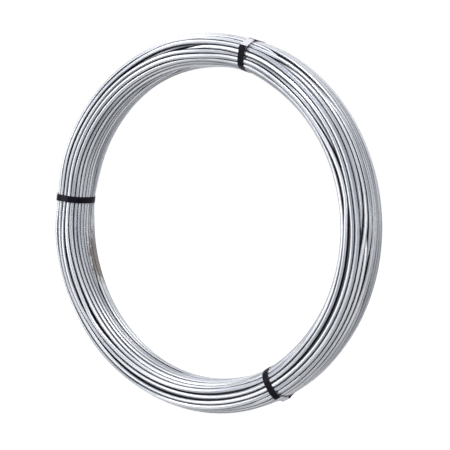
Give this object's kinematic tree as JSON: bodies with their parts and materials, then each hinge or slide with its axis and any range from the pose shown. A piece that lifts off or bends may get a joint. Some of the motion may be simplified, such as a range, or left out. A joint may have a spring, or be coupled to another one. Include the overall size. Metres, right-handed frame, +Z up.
{
  "type": "coil of galvanized wire rod",
  "caption": "Round coil of thick galvanized steel wire wound into one ring with an open eye, held by flat steel straps with crimped seals.",
  "frame": {"origin": "middle of the coil's eye, on its axis and half-way along its wall", "axes": "+Y along the coil's axis, away from the end that carries the seals; +Z up, with the coil standing on its rim"},
  "size_m": [0.6925, 0.0899, 0.6926],
  "materials": {
    "galvanized_wire": "satin hot-dip zinc with a bluish cast",
    "strap": "semi-gloss blue-black enamel",
    "seal": "bright zinc-plated sheet"
  },
  "bodies": {
    "root": {"wire_coil": "galvanized_wire", "strap_1": "strap", "strap_2": "strap", "strap_3": "strap", "seal_1": "seal", "seal_2": "seal", "seal_3": "seal"}
  },
  "joints": []
}
